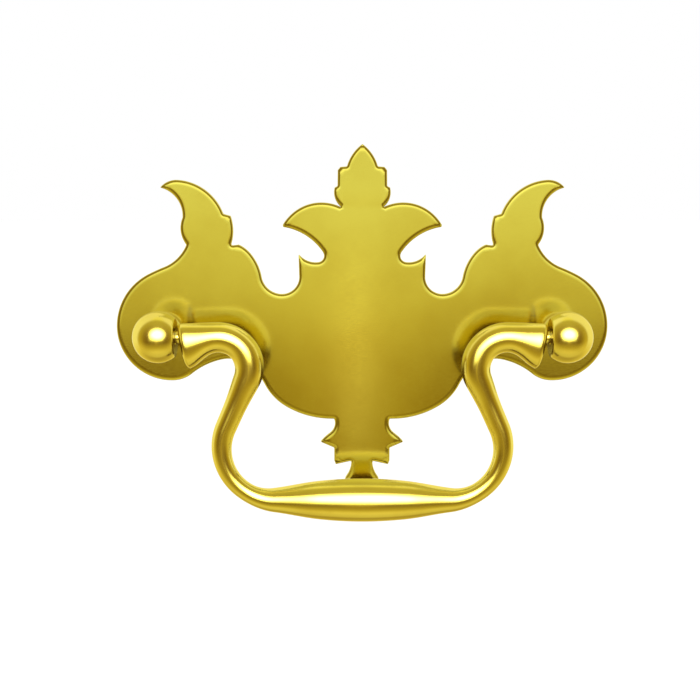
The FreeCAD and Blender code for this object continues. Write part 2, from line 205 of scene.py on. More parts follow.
class BailSizes(bpy.types.PropertyGroup):
    """The swan-neck bail: its centre line and the diameters along it."""
    drop: length("Drop", "From the hinge axis to the middle of the grip bar", -BAIL_LOW[Z] - GRIP / 2)
    rod_length: length("Rod length", "From the post's axis to the start of the bend", 11.2)
    bend_radius: length("Bend radius", "Radius of the bend under the rod", 5.7)
    arm_lean: angle("Arm lean", "Outward slope of the arm", 24)
    corner_radius: length("Corner radius", "Radius of the lower corner", 10.1)
    corner_share: share("Slim place", "Share of the corner's turn at which the bail is slimmest", 0.3)
    grip: length("Grip", "Diameter in the middle of the grip bar", GRIP)
    grip_end: length("Grip end", "Diameter at the end of the grip bar", 4.7)
    corner: length("Corner", "Slimmest diameter, in the corner", 3.5)
    hip: length("Hip", "Diameter at the foot of the arm", 4.05)
    arm: length("Arm", "Diameter in the middle of the arm", 4.3)
    arm_top: length("Arm top", "Diameter at the top of the arm", 5.2)
    bend: length("Bend", "Diameter in the bend", 5.5)
    rod: length("Rod", "Diameter of the rod", 5.6)
    shoulder_gap: length("Shoulder gap", "From the ball's flat to the shoulder's end", 0.85)
    shoulder_tilt: angle("Shoulder tilt", "Lean of the shoulder's end", 11)
    shoulder_rise: length("Shoulder rise", "Height of the shoulder over the hinge axis", 2.6)
    heel_drop: length("Heel drop", "How far the heel hangs below the hinge axis", 5.9)
    shoulder_depth: length("Shoulder depth", "Depth of the shoulder from front to back", 5.6)
    shoulder_rounding: length("Shoulder rounding", "Rounding of the shoulder's end", 1.0)
    dish_radius: length("Dish radius", "Radius of the hollow round the pin's foot", 1.7)
    dish_depth: length("Dish depth", "Depth of the hollow round the pin's foot", 0.7)
    pin_radius: length("Pin radius", "Radius of the hinge pin", 1.1)
    pin_reach: length("Pin reach", "How far the pin enters the ball, from its flat", 2.4)
    pin_chamfer: length("Pin chamfer", "Chamfer on the pin's tip", 0.2)


class BrassFinishes(bpy.types.PropertyGroup):
    """Colour and polish of the three brass finishes."""
    satin: colour("Satin brass", "Colour of the plate", (0.80, 0.69, 0.11))
    satin_shade: colour("Satin shade", "Colour of the plate where it has dulled", (0.72, 0.59, 0.08))
    # Painted shade: a darker colour laid on the plate's rounded rim, sides and back, standing in for shade
    satin_edge: colour("Satin edge", "Colour of the plate's darkened rim", (0.66, 0.55, 0.10))
    edge_top: length("Edge top", "Height over the plate's back at which the rim begins to darken", 1.08)
    edge_foot: length("Edge foot", "Height over the plate's back from which the rim is dark", 0.90)
    satin_roughness: share("Satin roughness", "Roughness of the plate", 0.135)
    polished: colour("Polished brass", "Colour of the bail and the posts", (0.90, 0.74, 0.13))
    polished_shade: colour("Polished shade", "Colour of bail and posts where dulled", (0.80, 0.62, 0.09))
    polished_roughness: share("Polished roughness", "Roughness of the bail and the posts", 0.18)
    plain: colour("Plain brass", "Colour of the nuts", (0.74, 0.58, 0.20))
    plain_shade: colour("Plain shade", "Colour of the nuts where they have dulled", (0.55, 0.40, 0.12))
    plain_roughness: share("Plain roughness", "Roughness of the nuts", 0.34)
    edge_tint: colour("Edge tint", "Colour of the brass at a glancing angle", (1.0, 0.95, 0.60))


class StageSettings(bpy.types.PropertyGroup):
    """The floor, the light and the camera."""
    floor_drop: length("Floor drop", "From the lowest point of the pull to the floor", 130.0)
    floor_size: length("Floor size", "Width of the floor", 6000.0)
    floor_colour: colour("Floor colour", "Colour of the floor", (0.9, 0.9, 0.9))
    lamp_distance: length("Lamp distance", "From the pull to the lamps in front", 600.0)
    lamp_height: angle("Lamp height", "Height of the broad lamp over the horizon", 22)
    lamp_aside: angle("Lamp aside", "Turn of the broad lamp to the right of the middle", 2)
    lamp_width: length("Lamp width", "Width of the broad lamp", 1050.0)
    lamp_tall: length("Lamp tall", "Height of the broad lamp's face", 760.0)
    lamp_power: power("Lamp power", "Power of the broad lamp", 18.0)
    lamp_core: share("Lamp core", "Share of a lamp's radius that is fully bright", 0.1)
    strip_height: angle("Strip height", "Height of the strip lamp over the horizon", -11)
    strip_width: length("Strip width", "Width of the strip lamp", 24.0)
    strip_tall: length("Strip tall", "Height of the strip lamp's face", 260.0)
    strip_power: power("Strip power", "Power of the strip lamp", 0.011)
    camera_x: length("Camera aside", "Camera's place to the right of the middle", -2.366)
    camera_y: length("Camera depth", "Camera's place along the front to back axis", -219.5)
    camera_z: length("Camera height", "Camera's place over the hinge axis", 34.371)
    camera_pitch: angle("Camera pitch", "How far the camera looks down", 10)
    camera_lens: FloatProperty(name="Camera lens", description="Focal length", default=58.33, unit="CAMERA")


class PullSettings(bpy.types.PropertyGroup):
    """All settings of the pull."""
    plate: PointerProperty(type=PlateSizes)
    posts: PointerProperty(type=PostSizes)
    nuts: PointerProperty(type=NutSizes)
    bail: PointerProperty(type=BailSizes)
    brass: PointerProperty(type=BrassFinishes)
    stage: PointerProperty(type=StageSettings)


def settings():
    """The settings of the open scene."""
    return bpy.context.scene.bail_pull


def own_properties(group):
    """The properties that a group of settings adds to those of every group."""
    return [prop for prop in group.bl_rna.properties if prop.identifier not in ("rna_type", "name")]


def in_mm(group):
    """The settings of a group by name, with the lengths in millimetres."""
    values = {}
    for prop in own_properties(group):
        value = getattr(group, prop.identifier)
        values[prop.identifier] = round(value / MM, 4) if prop.unit == "LENGTH" else value
    return SimpleNamespace(**values)


# Node trees

class Tree:
    """A node tree under construction. Inputs are given as plain values or as the sockets that feed them."""

    def __init__(self, tree):
        self.tree = tree
        self.tree.nodes.clear()

    def add(self, kind, inputs=None, **options):
        node = self.tree.nodes.new(kind)
        for name, value in options.items():
            setattr(node, name, value)
        for key, value in (inputs or {}).items():
            self.feed(node.inputs[key], value)
        return node

    def feed(self, socket, value):
        if isinstance(value, bpy.types.NodeSocket):
            self.tree.links.new(value, socket)
        else:
            socket.default_value = value

    def math(self, operation, *values, clamp=False):
        node = self.add("ShaderNodeMath", dict(enumerate(values)), operation=operation, use_clamp=clamp)
        return node.outputs[0]

    def vector_math(self, operation, *values, output="Vector"):
        node = self.add("ShaderNodeVectorMath", dict(enumerate(values)), operation=operation)
        return node.outputs[output]

    def smooth_range(self, value, low, high, start=0.0, end=1.0):
        """Rises smoothly from start to end while the value goes from low to high."""
        node = self.add(
            "ShaderNodeMapRange",
            {"Value": value, "From Min": low, "From Max": high, "To Min": start, "To Max": end},
            interpolation_type="SMOOTHSTEP",
        )
        return node.outputs["Result"]

    def mix_colour(self, factor, first, second):
        node = self.add("ShaderNodeMix", data_type="RGBA")
        colour_inputs = [socket for socket in node.inputs if socket.type == "RGBA"]
        self.feed(node.inputs[0], factor)
        self.feed(colour_inputs[0], first)
        self.feed(colour_inputs[1], second)
        return next(socket for socket in node.outputs if socket.type == "RGBA")

    def ramp(self, value, stops):
        """A colour ramp through stops of (place, linear colour)."""
        node = self.add("ShaderNodeValToRGB", {"Fac": value})
        elements = node.color_ramp.elements
        while len(elements) < len(stops):
            elements.new(0.5)
        for element, (place, rgb) in zip(elements, stops):
            element.position = place
            element.color = opaque(rgb)
        return node.outputs["Color"]


def opaque(rgb):
    """A colour with nothing showing through."""
    return (rgb[0], rgb[1], rgb[2], 1.0)


def geometry_tree(name, inputs):
    """An empty geometry tree with named inputs, given as (name, socket type)."""
    group = bpy.data.node_groups.new(name, "GeometryNodeTree")
    group.interface.new_socket("Geometry", in_out="INPUT", socket_type="NodeSocketGeometry")
    for label, kind in inputs:
        group.interface.new_socket(label, in_out="INPUT", socket_type=kind)
    group.interface.new_socket("Geometry", in_out="OUTPUT", socket_type="NodeSocketGeometry")
    return Tree(group)


def run_geometry_tree(mesh, tree, values):
    """Runs a geometry tree over a mesh and gives the result back as a plain mesh."""
    carrier = bpy.data.objects.new("Carrier", mesh)
    bpy.context.scene.collection.objects.link(carrier)
    modifier = carrier.modifiers.new("Shape", "NODES")
    modifier.node_group = tree
    for item in tree.interface.items_tree:
        if item.in_out == "INPUT" and item.name in values:
            modifier[item.identifier] = values[item.name]
    graph = bpy.context.evaluated_depsgraph_get()
    result = bpy.data.meshes.new_from_object(carrier.evaluated_get(graph))
    carrier.modifiers.remove(modifier)
    bpy.data.objects.remove(carrier)
    return result


# Brass

def brass_material(name, build):
    """A material with a metal shader, finished by a function that adds the detail."""
    material = bpy.data.materials.new(name)
    material.use_nodes = True
    tree = Tree(material.node_tree)
    glancing = opaque(settings().brass.edge_tint)
    shader = tree.add("ShaderNodeBsdfPrincipled", {"Metallic": 1.0, "Specular Tint": glancing})
    output = tree.add("ShaderNodeOutputMaterial")
    tree.feed(output.inputs["Surface"], shader.outputs["BSDF"])
    place = tree.add("ShaderNodeTexCoord").outputs["Object"]
    build(tree, shader, place)
    return material


def noise(tree, place, scale, detail=3.0):
    """Noise in the piece's own coordinates, with its scale given per metre."""
    node = tree.add("ShaderNodeTexNoise", {"Vector": place, "Scale": scale, "Detail": detail})
    return node.outputs["Fac"]


def stretched(tree, place, scale):
    """Coordinates squeezed along some axes, so that a pattern runs along the others."""
    return tree.add("ShaderNodeMapping", {"Vector": place, "Scale": scale}).outputs["Vector"]


def relief(tree, shader, height, strength, distance):
    """A fine relief from a pattern, with its full height given in metres."""
    bump = tree.add("ShaderNodeBump", {"Height": height, "Strength": strength, "Distance": distance})
    tree.feed(shader.inputs["Normal"], bump.outputs["Normal"])


def satin_brass():
    """The plate: evenly rubbed, with faint clouding, very fine rubbing lines and a rim darkened with
    painted shade.
    """
    brass = settings().brass

    def build(tree, shader, place):
        clouds = noise(tree, place, 60.0)
        lines = noise(tree, stretched(tree, place, (1.0, 1.0, 12.0)), 900.0)
        dulled = tree.smooth_range(clouds, 0.35, 0.75)
        rubbed = tree.mix_colour(dulled, opaque(brass.satin), opaque(brass.satin_shade))
        # Painted shade: the colour darkens from just behind the flat front, down the rounded rim to the
        # sides and back
        depth = tree.add("ShaderNodeSeparateXYZ", {0: place}).outputs["Y"]
        painted_edge_shade = tree.smooth_range(depth, -brass.edge_top, -brass.edge_foot)
        tint = tree.mix_colour(painted_edge_shade, rubbed, opaque(brass.satin_edge))
        tree.feed(shader.inputs["Base Color"], tint)
        low, high = brass.satin_roughness - 0.03, brass.satin_roughness + 0.03
        tree.feed(shader.inputs["Roughness"], tree.smooth_range(lines, 0.3, 0.7, low, high))
        relief(tree, shader, lines, 0.04, 0.00004)

    return brass_material("satin_brass_finish", build)


def polished_brass():
    """The bail and the posts: bright, with faint polishing marks and a little dulling."""
    brass = settings().brass

    def build(tree, shader, place):
        clouds = noise(tree, place, 130.0)
        marks = noise(tree, place, 1500.0, 5.0)
        dulled = tree.smooth_range(clouds, 0.4, 0.8)
        tint = tree.mix_colour(dulled, opaque(brass.polished), opaque(brass.polished_shade))
        tree.feed(shader.inputs["Base Color"], tint)
        low, high = brass.polished_roughness - 0.02, brass.polished_roughness + 0.04
        tree.feed(shader.inputs["Roughness"], tree.smooth_range(clouds, 0.3, 0.8, low, high))
        relief(tree, shader, marks, 0.03, 0.00005)

    return brass_material("polished_brass_finish", build)


def plain_brass():
    """The nuts: as turned and milled, dull in patches."""
    brass = settings().brass

    def build(tree, shader, place):
        clouds = noise(tree, place, 350.0, 4.0)
        grain = noise(tree, stretched(tree, place, (1.0, 8.0, 1.0)), 1200.0)
        dulled = tree.smooth_range(clouds, 0.35, 0.7)
        tint = tree.mix_colour(dulled, opaque(brass.plain), opaque(brass.plain_shade))
        tree.feed(shader.inputs["Base Color"], tint)
        low, high = brass.plain_roughness - 0.08, brass.plain_roughness + 0.1
        tree.feed(shader.inputs["Roughness"], tree.smooth_range(grain, 0.3, 0.7, low, high))
        relief(tree, shader, grain, 0.15, 0.00005)

    return brass_material("plain_brass_finish", build)


def finish(name, build):
    """A finish, made the first time that a piece asks for it."""
    return bpy.data.materials.get(f"{name}_finish") or build()


# Meshes

def mesh_from(bm, material):
    """A mesh of one material, with doubled points welded and its faces turned outwards."""
    bmesh.ops.remove_doubles(bm, verts=bm.verts, dist=WELD)
    bmesh.ops.dissolve_degenerate(bm, edges=bm.edges, dist=WELD / 4)
    bmesh.ops.recalc_face_normals(bm, faces=bm.faces)
    mesh = bpy.data.meshes.new("Mesh")
    bm.to_mesh(mesh)
    bm.free()
    mesh.materials.clear()
    mesh.materials.append(material)
    return mesh


def add_piece(name, mesh, node, body):
    """Puts a finished mesh, drawn in millimetres, into the scene in place of a CAD node."""
    mesh.transform(Matrix.Scale(MM, 4))
    mesh.name = name
    mesh.shade_smooth()
    mesh.set_sharp_from_angle(angle=CREASE)
    piece = bpy.data.objects.new(name, mesh)
    bpy.context.scene.collection.objects.link(piece)
    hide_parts(node)
    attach(piece, body)
    return piece


def skin(bm, rings):
    """Faces between rings of points that follow each other. A ring of one point is a pole."""
    for low, high in zip(rings, rings[1:]):
        count = max(len(low), len(high))
        for index in range(count):
            after = (index + 1) % count
            corners = [low[index % len(low)], low[after % len(low)]]
            corners += [high[after % len(high)], high[index % len(high)]]
            corners = list(dict.fromkeys(corners))
            if len(corners) > 2:
                bm.faces.new(corners)


def turn(bm, profile, place, segments):
    """A turned shape. The profile gives (distance along the axis, radius), and place puts them in space."""
    rings = []
    for along, radius in profile:
        if radius < WELD:
            rings.append([bm.verts.new(place(along, 0, 0))])
            continue
        ring = []
        for index in range(segments):
            way = 2 * math.pi * index / segments
            ring.append(bm.verts.new(place(along, radius * math.cos(way), radius * math.sin(way))))
        rings.append(ring)
    skin(bm, rings)


def round_corner(start, corner, end, steps):
    """Points of a curve that leaves start and reaches end, pulled towards the corner."""
    points = []
    for step in range(steps + 1):
        part = step / steps
        from_start = Vector(start).lerp(Vector(corner), part)
        to_end = Vector(corner).lerp(Vector(end), part)
        points.append(tuple(from_start.lerp(to_end, part)))
    return points


# Plate

class Outline:
    """The right half of the plate's border: close points in millimetres along lines and arcs."""

    def __init__(self, start):
        self.points = [Vector(start)]
        self.heading = None

    def line(self, end):
        """A straight edge."""
        here, end = self.points[-1], Vector(end)
        steps = max(1, math.ceil((end - here).length / FINE_STEP))
        self.points += [here.lerp(end, step / steps) for step in range(1, steps + 1)]
        self.heading = (end - here).normalized()

    def arc(self, middle, end):
        """An arc through a point on the way."""
        here, middle, end = self.points[-1], Vector(middle), Vector(end)
        centre = circle_centre(here, middle, end)
        radius = (here - centre).length
        first = math.atan2(*reversed(here - centre))
        last = math.atan2(*reversed(end - centre))
        leftwards = (middle - here).cross(end - middle) > 0
        sweep = (last - first) % (2 * math.pi) if leftwards else -((first - last) % (2 * math.pi))
        steps = math.ceil(max(abs(sweep) / FINE_TURN, abs(sweep) * radius / FINE_STEP))
        for step in range(1, steps + 1):
            way = first + sweep * step / steps
            self.points.append(centre + radius * Vector((math.cos(way), math.sin(way))))
        turned = Vector((-math.sin(last), math.cos(last)))
        self.heading = turned if leftwards else -turned

    def flow(self, *points):
        """Arcs from point to point, each leaving in the direction in which the edge before it arrived."""
        for end in points:
            here, end = self.points[-1], Vector(end)
            chord = end - here
            along = chord.normalized()
            aside = (self.heading - along * self.heading.dot(along)).normalized()
            bulge = chord.length / 2 * math.tan(self.heading.angle(chord) / 2)
            self.arc(here + chord / 2 + aside * bulge, end)


def circle_centre(first, second, third):
    """Centre of the circle through three points."""
    to_second, to_third = second - first, third - first
    double = 2 * to_second.cross(to_third)
    x = (to_third.y * to_second.length_squared - to_second.y * to_third.length_squared) / double
    y = (to_second.x * to_third.length_squared - to_third.x * to_second.length_squared) / double
    return first + Vector((x, y))


def draw_finial(outline, size):
    """The pointed bud and the two steps under it."""
    tip, foot = size.finial_tip, size.bud_foot
    outline.arc((1.8, tip - 1.8), (2.95, foot))
    outline.line((4.2, foot - 0.1))
    outline.line((4.7, foot - 0.7))
    outline.line((4.75, foot - 3.7))
    outline.line((5.3, foot - 4.0))
    outline.arc((5.35, foot - 5.6), (3.9, foot - 7.8))


def draw_leaf(outline, size):
    """The side leaf of the crest, the deep notch under it and the spur."""
    reach, tip = size.leaf_reach, size.leaf_tip
    outline.arc((9.3, tip + 4.35), (12.8, tip + 2.9))
    outline.flow((reach, tip + 0.2))
    outline.line((reach - 0.1, tip - 0.2))
    outline.arc((9.8, tip - 2.6), (7.6, tip - 5.0))
    outline.flow((8.5, size.spur_tip - 1.6), (size.spur_reach, size.spur_tip))


def draw_wing(outline, size, by_post):
    """The valley beside the spur and the wing that rises from it to a swept point."""
    tip = size.wing_tip
    outline.line((size.spur_reach - 0.1, size.spur_tip - 4.3))
    outline.flow(
        (size.valley_reach, size.valley_bottom),
        by_post(18.6, 10.1),
        by_post(16.4, 14.8),
        by_post(14.25, 16.4),
    )
    outline.line(by_post(12.75, 16.2))
    outline.arc(by_post(13.25, 19.4), by_post(12.8, 21.9))
    outline.line(by_post(11.4, 22.3))
    outline.arc(by_post(7.8, tip - 0.3), by_post(2.8, tip + 1.45))
    outline.flow(by_post(-size.wing_tip_out, tip))
    outline.arc(by_post(2.2, tip - 1.6), by_post(3.6, tip - 5.7))
    outline.arc(by_post(3.15, 19.4), by_post(4.2, 16.4))


def draw_lobe(outline, size, by_post):
    """The S-shaped shoulder and the round ear behind the post."""
    centre_x, centre_z = by_post(size.lobe_inset, size.lobe_rise)
    outline.arc(by_post(2.3, 13.7), by_post(-0.3, 12.05))
    outline.flow(
        by_post(-3.3, 10.7),
        (centre_x + size.lobe_radius, centre_z),
        (centre_x, centre_z - size.lobe_radius),
    )


def draw_bowl(outline, size, by_post):
    """The arch under the bail's bend and the rounded bowl of the plate."""
    outline.flow(
        by_post(4.7, -8.9),
        by_post(size.arch_inset, size.arch_top),
        by_post(16.8, size.arch_top - 1.9),
        (size.bowl_reach, size.arch_top - 5.0),
        (size.bowl_reach - 4.1, size.bowl_bottom + 2.5),
        (5.5, size.bowl_bottom),
    )


def draw_tail(outline, size):
    """The drop below the bowl: a flared leaf, a step and a pointed stem."""
    top, tip = size.bowl_bottom, size.tail_tip
    outline.arc((5.35, top - 1.0), (6.4, top - 3.0))
    outline.flow((size.tail_leaf_reach, top - 4.7))
    outline.line((5.5, top - 5.9))
    outline.line((5.5, top - 8.5))
    outline.line((5.2, top - 9.3))
    outline.line((2.1, top - 8.6))
    outline.arc((2.35, top - 10.3), (3.05, top - 11.7))
    outline.flow((3.3, tip + 4.2), (2.4, tip + 2.5), (0, tip))


def plate_border(size, post_x):
    """The whole border, clockwise from the tip of the finial, with its corners rounded."""
    def by_post(inset, height):
        """A point at some distance inside the post's axis."""
        return post_x - inset, height

    outline = Outline((0, size.finial_tip))
    draw_finial(outline, size)
    draw_leaf(outline, size)
    draw_wing(outline, size, by_post)
    draw_lobe(outline, size, by_post)
    draw_bowl(outline, size, by_post)
    draw_tail(outline, size)
    right = [(point.x, point.y) for point in outline.points]
    left = [(-x, z) for x, z in reversed(right[1:-1])]
    return round_corners(np.array(right + left), size)


def round_corners(border, size):
    """Rounds every corner of a closed border: notches with the saw's radius, points with a smaller one."""
    count = len(border)
    ahead = np.roll(border, -1, axis=0) - border
    run = np.hypot(ahead[:, 0], ahead[:, 1])
    way = np.arctan2(ahead[:, 1], ahead[:, 0])
    bend = (way - np.roll(way, 1) + np.pi) % (2 * np.pi) - np.pi

    def walk(index, step, distance):
        """The point at a distance along the border from a corner, and how many points lie before it."""
        passed = 0
        while True:
            edge = run[index % count] if step > 0 else run[(index - 1) % count]
            if edge > distance:
                here, beyond = border[index % count], border[(index + step) % count]
                return here + (beyond - here) * distance / edge, passed
            distance -= edge
            index += step
            passed += 1

    sharpest, steps = math.radians(130), 6
    rounded, dropped = {}, set()
    for index in np.flatnonzero(np.abs(bend) > SHARP_TURN):
        radius = size.notch_radius if bend[index] > 0 else size.point_radius
        trim = radius * math.tan(min(abs(bend[index]), sharpest) / 2)
        start, before = walk(index, -1, trim)
        end, after = walk(index, 1, trim)
        dropped.update((index + offset) % count for offset in range(-before, after + 1))
        rounded[index] = round_corner(tuple(start), tuple(border[index]), tuple(end), steps)
    points = []
    for index in range(count):
        if index in rounded:
            points += rounded[index]
        elif index not in dropped:
            points.append(tuple(border[index]))
    return np.array(points)


def inward(border):
    """Inward direction at each point of a clockwise border, and the room before another side is met."""
    in_front, plenty = 1e-4, 1e9
    ahead = np.roll(border, -1, axis=0) - np.roll(border, 1, axis=0)
    ahead /= np.linalg.norm(ahead, axis=1)[:, None]
    inwards = np.stack([ahead[:, 1], -ahead[:, 0]], axis=1)
    between = border[None, :, :] - border[:, None, :]
    depth = np.einsum("ijk,ik->ij", between, inwards)
    square = np.einsum("ijk,ijk->ij", between, between)
    room = np.where(depth > in_front, square / np.maximum(2 * depth, in_front), plenty).min(axis=1)
    for _ in range(2):
        room = np.minimum(room, np.minimum(np.roll(room, 1), np.roll(room, -1)))
    return inwards, room


def fill_flat(bm, loops):
    """Fills the flat between an outer loop of points and the loops of the holes in it."""
    verts = [vert for loop in loops for vert in loop]
    edges, first = [], 0
    for loop in loops:
        count = len(loop)
        edges += [(first + index, first + (index + 1) % count) for index in range(count)]
        first += count
    flat = [Vector((vert.co.x, vert.co.z)) for vert in verts]
    valid_faces, nearness = 4, 1e-5
    places, _, faces, origins, _, _ = delaunay_2d_cdt(flat, edges, [], valid_faces, nearness)
    depth = loops[-1][0].co.y
    used = []
    for place, origin in zip(places, origins):
        used.append(verts[origin[0]] if origin else bm.verts.new((place.x, depth, place.y)))
    holes = [set(loop) for loop in loops[1:]]
    for face in faces:
        corners = [used[index] for index in face]
        if not any(hole.issuperset(corners) for hole in holes):
            bm.faces.new(corners)


def plate_mesh(size, post_x, material):
    """The plate: flat back, upright rim, rounded front edge and flat front, with a hole for each post."""
    border = plate_border(size, post_x)
    inwards, room = inward(border)
    bm = bmesh.new()

    def ring(inset, depth):
        """The border set in by some amount, or by most of the room, at the depth for each inset."""
        most = 0.9
        insets = np.minimum(inset, most * room)
        places = border + inwards * insets[:, None]
        return [bm.verts.new((x, depth(into), z)) for (x, z), into in zip(places, insets)]

    def rounded(into):
        """Depth of the rounded front edge at a distance in from the border."""
        left = max(0.0, 1 - into / size.edge_width)
        return -size.thickness + size.edge_depth * (1 - math.sqrt(1 - left * left))

    def hole(side, depth):
        """The ring of points round one of the holes."""
        points = []
        for index in range(HOLE_SIDES):
            way = 2 * math.pi * index / HOLE_SIDES
            x = side * post_x + size.hole_radius * math.cos(way)
            points.append(bm.verts.new((x, depth, size.hole_radius * math.sin(way))))
        return points

    steps, flat_margin = 7, 0.15
    ways = [math.radians(90 * step / steps) for step in range(steps + 1)]
    insets = [size.edge_width * (1 - math.cos(way)) for way in ways]
    rings = [
        ring(size.back_edge, lambda into: 0),
        ring(0, lambda into: -size.back_edge),
    ]
    rings += [ring(inset, rounded) for inset in insets]
    rings.append(ring(size.edge_width + flat_margin, rounded))
    skin(bm, rings)
    back_holes = [hole(side, 0) for side in (-1, 1)]
    front_holes = [hole(side, -size.thickness) for side in (-1, 1)]
    for back, front in zip(back_holes, front_holes):
        skin(bm, [back, front])
    fill_flat(bm, [rings[0]] + back_holes)
    fill_flat(bm, [rings[-1]] + front_holes)
    return mesh_from(bm, material)


class BAILPULL_OT_plate(bpy.types.Operator):
    """Add the scalloped backplate"""
    bl_idname = "bail_pull.plate"
    bl_label = "Add Backplate"

    def execute(self, context):
        size = in_mm(settings().plate)
        post_x = in_mm(settings().posts).spacing / 2
        mesh = plate_mesh(size, post_x, finish("satin_brass", satin_brass))
        add_piece("plate", mesh, "backplate", "plate_assembly")
        return {"FINISHED"}


# Bail

class BailLine:
    """The right half of the bail's centre line, from the middle of the grip bar to the shoulder's end."""

    def __init__(self, size, post_x, ball_flat):
        self.size = size
        lean = size.arm_lean
        self.turn = math.pi / 2 + lean
        self.end_x = post_x - ball_flat - size.shoulder_gap
        self.bend_centre = Vector((post_x - size.rod_length, -size.bend_radius))
        self.arm_top = self.bend_centre + size.bend_radius * compass(math.pi + lean)
        corner_height = -size.drop + size.corner_radius
        arm_bottom_height = corner_height + size.corner_radius * math.sin(lean)
        arm_run = (self.arm_top.y - arm_bottom_height) * math.tan(lean)
        self.arm_bottom = Vector((self.arm_top.x + arm_run, arm_bottom_height))
        corner_x = self.arm_bottom.x - size.corner_radius * math.cos(lean)
        self.corner_centre = Vector((corner_x, corner_height))
        self.bar = self.corner_centre.x
        self.corner = size.corner_radius * self.turn
        self.arm = (self.arm_top - self.arm_bottom).length
        self.bend = size.bend_radius * self.turn
        self.rod = self.end_x - size.shoulder_rounding - self.bend_centre.x
        self.length = self.bar + self.corner + self.arm + self.bend + self.rod

    def point(self, distance):
        """The point at a distance from the middle of the bar."""
        size = self.size
        if distance < self.bar:
            return Vector((distance, -size.drop))
        distance -= self.bar
        if distance < self.corner:
            way = distance / size.corner_radius - math.pi / 2
            return self.corner_centre + size.corner_radius * compass(way)
        distance -= self.corner
        if distance < self.arm:
            return self.arm_bottom.lerp(self.arm_top, distance / self.arm)
        distance -= self.arm
        if distance < self.bend:
            way = math.pi / 2 + self.turn - distance / size.bend_radius
            return self.bend_centre + size.bend_radius * compass(way)
        return Vector((self.bend_centre.x + distance - self.bend, 0))

    def girths(self):
        """Distances from the middle of the bar, and the diameters there."""
        size = self.size
        arm_start = self.bar + self.corner
        bend_start = arm_start + self.arm
        rod_start = bend_start + self.bend
        swollen, held, settled = (bend_start + self.bend * part for part in (0.3, 0.6, 0.85))
        return [
            (0, size.grip),
            (self.bar / 2, size.grip - (size.grip - size.grip_end) / 4),
            (self.bar, size.grip_end),
            (self.bar + self.corner * size.corner_share, size.corner),
            (arm_start, size.hip),
            (arm_start + self.arm / 2, size.arm),
            (bend_start, size.arm_top),
            (swollen, size.bend),
            (held, size.bend),
            (settled, size.rod),
            (rod_start, size.rod),
            (self.length, size.rod),
        ]

    def flare(self, distance):
        """How far the rod has widened into the shoulder, from 0 to 1."""
        start = self.length - self.rod
        part = (distance - start) / (self.rod + self.size.shoulder_rounding)
        part = min(max(part, 0.0), 1.0)
        return part * part * (3 - 2 * part)


def compass(way):
    """A step of one in some direction."""
    return Vector((math.cos(way), math.sin(way)))


def smooth_through(stations, distance):
    """A smooth value at a distance, through stations of (distance, value)."""
    last = len(stations) - 1
    index = max(k for k in range(last) if stations[k][0] <= distance or k == 0)

    def slope(k):
        """How steeply the value rises at a station."""
        before, after = stations[max(k - 1, 0)], stations[min(k + 1, last)]
        return (after[1] - before[1]) / (after[0] - before[0]) if 0 < k < last else 0.0

    (start, low), (end, high) = stations[index], stations[index + 1]
    span = end - start
    t = (distance - start) / span
    fall = 1 - t
    ease = fall * fall * (1 + 2 * t) * low + t * t * (3 - 2 * t) * high
    return ease + fall * fall * t * span * slope(index) - t * t * fall * span * slope(index + 1)


def bail_line_mesh(line, hinge_y, steps):
    """The whole centre line as a chain of edges that carries its girth and its flare."""
    stations = line.girths()
    places, girths, flares = [], [], []
    for step in range(-steps, steps + 1):
        distance = line.length * abs(step) / steps
        point = line.point(distance)
        places.append((math.copysign(point.x, step), hinge_y, point.y))
        girths.append(smooth_through(stations, distance) / 2)
        flares.append(line.flare(distance))
    mesh = bpy.data.meshes.new("Bail line")
    mesh.from_pydata(places, [(index, index + 1) for index in range(2 * steps)], [])
    for name, values in (("girth", girths), ("flare", flares)):
        mesh.attributes.new(name, "FLOAT", "POINT").data.foreach_set("value", values)
    return mesh


def end_tree(tree, geometry, material):
    """Ends a geometry tree in plain geometry of one material."""
    whole = tree.add("GeometryNodeRealizeInstances", {"Geometry": geometry}).outputs[0]
    brassed = tree.add("GeometryNodeSetMaterial", {"Geometry": whole, "Material": material}).outputs[0]
    tree.add("NodeGroupOutput", {"Geometry": brassed})
    return tree.tree


